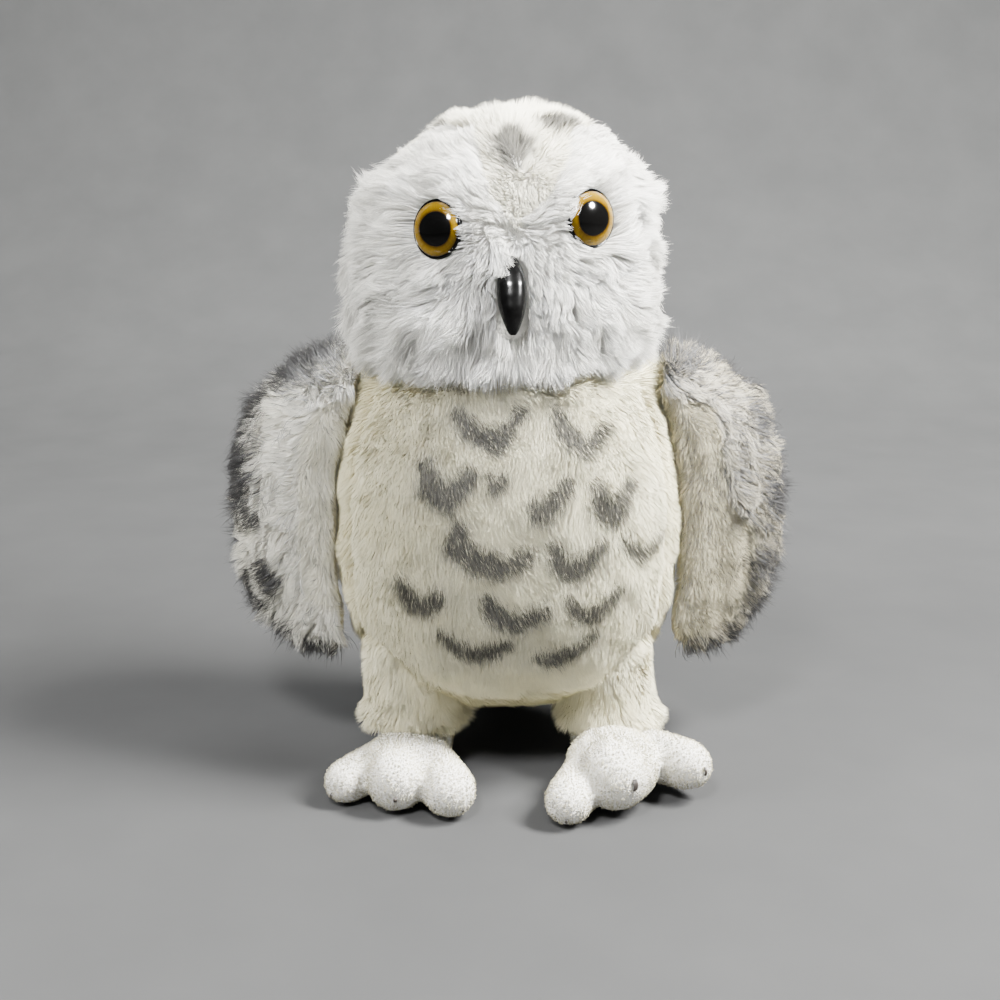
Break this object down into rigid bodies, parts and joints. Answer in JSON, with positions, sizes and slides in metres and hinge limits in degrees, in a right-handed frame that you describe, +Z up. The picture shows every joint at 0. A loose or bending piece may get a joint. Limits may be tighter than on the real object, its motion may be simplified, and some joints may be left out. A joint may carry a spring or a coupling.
{
  "type": "plush owl",
  "caption": "Standing white plush owl with long-pile face, glossy safety eyes and beak, soft wings that lift, and plump velour feet.",
  "frame": {"origin": "on the floor under the middle of the object's box", "axes": "+Z up, -Y the way the face and toes point, +X towards the right wing as seen from the front"},
  "size_m": [0.2498, 0.1842, 0.292],
  "materials": {
    "plush": "matte",
    "pile": "satin",
    "wing_pile": "matte",
    "lining": "matte",
    "velour": "matte",
    "filling": "matte",
    "calico": "matte",
    "black_plastic": "gloss",
    "eye_dome": "gloss",
    "washer": "satin"
  },
  "bodies": {
    "root": {"belly_panel": "plush", "back_panel_left": "plush", "back_panel_right": "plush", "base_panel": "plush", "body_stuffing": "filling", "pellet_bag": "calico", "tail_skin": "plush", "tail_stuffing": "filling"},
    "head": {"crown_panel": "plush", "face_panel_left": "pile", "face_panel_right": "pile", "head_back_panel": "plush", "head_stuffing": "filling", "eye_left_base": "black_plastic", "eye_left_dome": "eye_dome", "eye_left_washer": "washer", "eye_right_base": "black_plastic", "eye_right_dome": "eye_dome", "eye_right_washer": "washer", "beak": "black_plastic", "beak_washer": "washer"},
    "wing_left": {"wing_left_outer": "wing_pile", "wing_left_lining": "lining", "wing_left_filling": "filling"},
    "leg_left": {"leg_left_sleeve": "plush", "leg_left_stuffing": "filling", "foot_left_skin": "velour", "foot_left_stuffing": "filling"},
    "wing_right": {"wing_right_outer": "wing_pile", "wing_right_lining": "lining", "wing_right_filling": "filling"},
    "leg_right": {"leg_right_sleeve": "plush", "leg_right_stuffing": "filling", "foot_right_skin": "velour", "foot_right_stuffing": "filling"}
  },
  "joints": [
    {"name": "head_turn", "type": "hinge", "parent": "root", "child": "head", "pos_m": [0, 0, 0.188], "axis": [0, 0, 1], "range_deg": [-20, 20], "stiffness_Nm_per_rad": 0.4},
    {"name": "leg_left_turn", "type": "hinge", "parent": "root", "child": "leg_left", "pos_m": [-0.043, -0.022, 0.074], "axis": [0, 0, 1], "range_deg": [-15, 10], "stiffness_Nm_per_rad": 0.3},
    {"name": "leg_right_turn", "type": "hinge", "parent": "root", "child": "leg_right", "pos_m": [0.043, -0.022, 0.074], "axis": [0, 0, 1], "range_deg": [-10, 15], "stiffness_Nm_per_rad": 0.3},
    {"name": "wing_left_lift", "type": "hinge", "parent": "root", "child": "wing_left", "pos_m": [-0.06824, -0.004, 0.18272], "axis": [0, 1, 0], "range_deg": [0, 75]},
    {"name": "wing_right_lift", "type": "hinge", "parent": "root", "child": "wing_right", "pos_m": [0.06824, -0.004, 0.18272], "axis": [0, -1, 0], "range_deg": [0, 75]}
  ]
}
